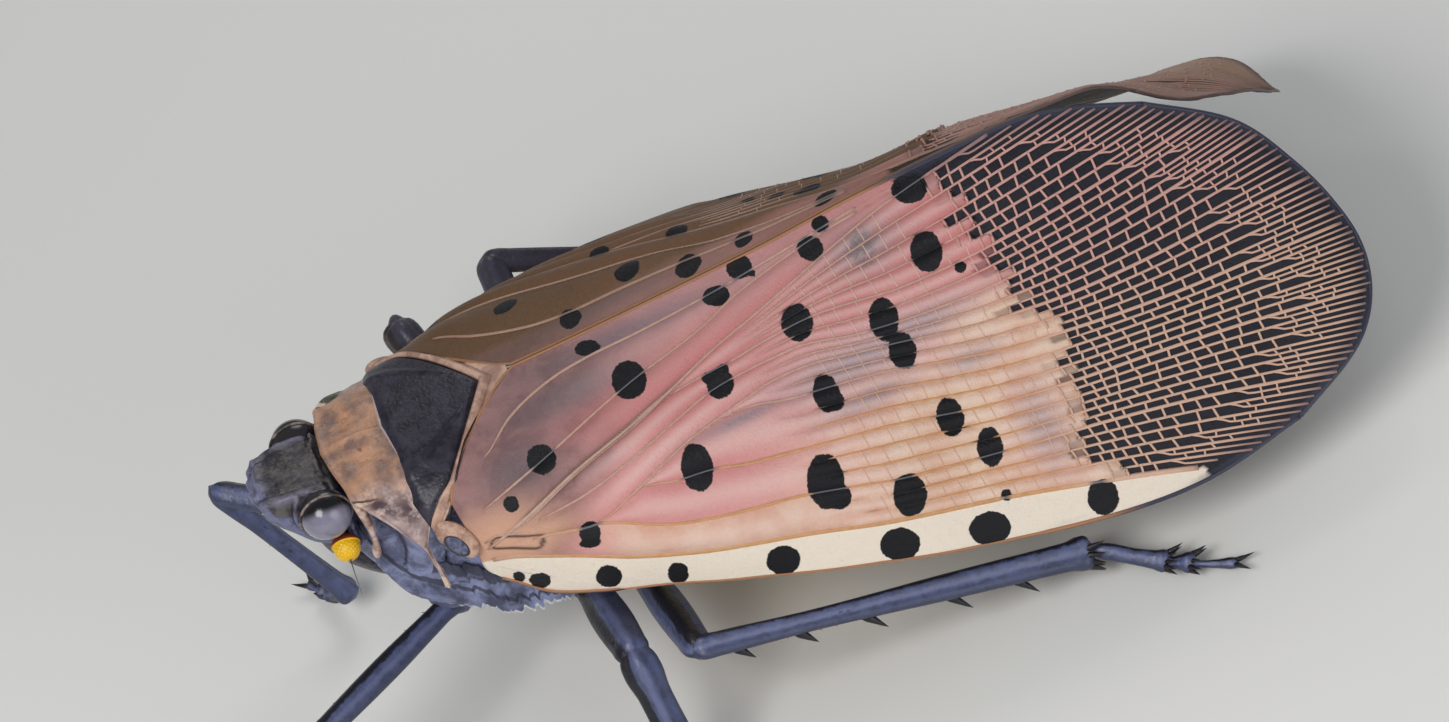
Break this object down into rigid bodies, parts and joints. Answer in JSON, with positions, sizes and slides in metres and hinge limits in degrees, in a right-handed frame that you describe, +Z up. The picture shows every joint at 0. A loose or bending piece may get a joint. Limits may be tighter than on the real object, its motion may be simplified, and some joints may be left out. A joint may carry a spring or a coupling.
{
  "type": "spotted lanternfly",
  "caption": "Life-size still model of an adult spotted lanternfly, standing on six feet with its spotted wings folded like a roof over the abdomen.",
  "frame": {"origin": "on the floor, under the middle of the insect's box", "axes": "+Z up, +X from head to wing tips, the insect's left side towards -Y"},
  "size_m": [0.026, 0.0194, 0.0084],
  "materials": {
    "head": "dark charcoal cuticle, satin, with lavender highlights",
    "eye": "glossy compound eye, black above and grey lavender below",
    "antenna": "bright yellow bulb with an orange-red rim",
    "rostrum": "dark beak, satin",
    "pronotum": "tan and pink cuticle with brown blotches",
    "mesonotum": "slate shield with a tan border",
    "tegula": "tan and slate scale at the wing base",
    "thorax": "blue-grey cuticle with pale wax",
    "abdomen": "yellow with black bands",
    "forewing": "pink-grey membrane with black spots and a dark netted tip",
    "hindwing": "scarlet base with black spots, white band and black tip",
    "leg": "black to slate-blue cuticle, satin"
  },
  "bodies": {
    "root": {"head": "head", "rostrum": "rostrum", "pronotum": "pronotum", "mesonotum": "mesonotum", "thorax": "thorax", "abdomen": "abdomen", "eye_left": "eye", "eye_right": "eye", "antenna_left": "antenna", "antenna_right": "antenna", "tegula_left": "tegula", "tegula_right": "tegula", "forewing_left": "forewing", "forewing_right": "forewing", "hindwing_left": "hindwing", "hindwing_right": "hindwing", "fore_left_femur": "leg", "fore_left_tibia": "leg", "fore_left_tarsus": "leg", "fore_right_femur": "leg", "fore_right_tibia": "leg", "fore_right_tarsus": "leg", "mid_left_femur": "leg", "mid_left_tibia": "leg", "mid_left_tarsus": "leg", "mid_right_femur": "leg", "mid_right_tibia": "leg", "mid_right_tarsus": "leg", "hind_left_femur": "leg", "hind_left_tibia": "leg", "hind_left_tarsus": "leg", "hind_right_femur": "leg", "hind_right_tibia": "leg", "hind_right_tarsus": "leg"}
  },
  "joints": []
}
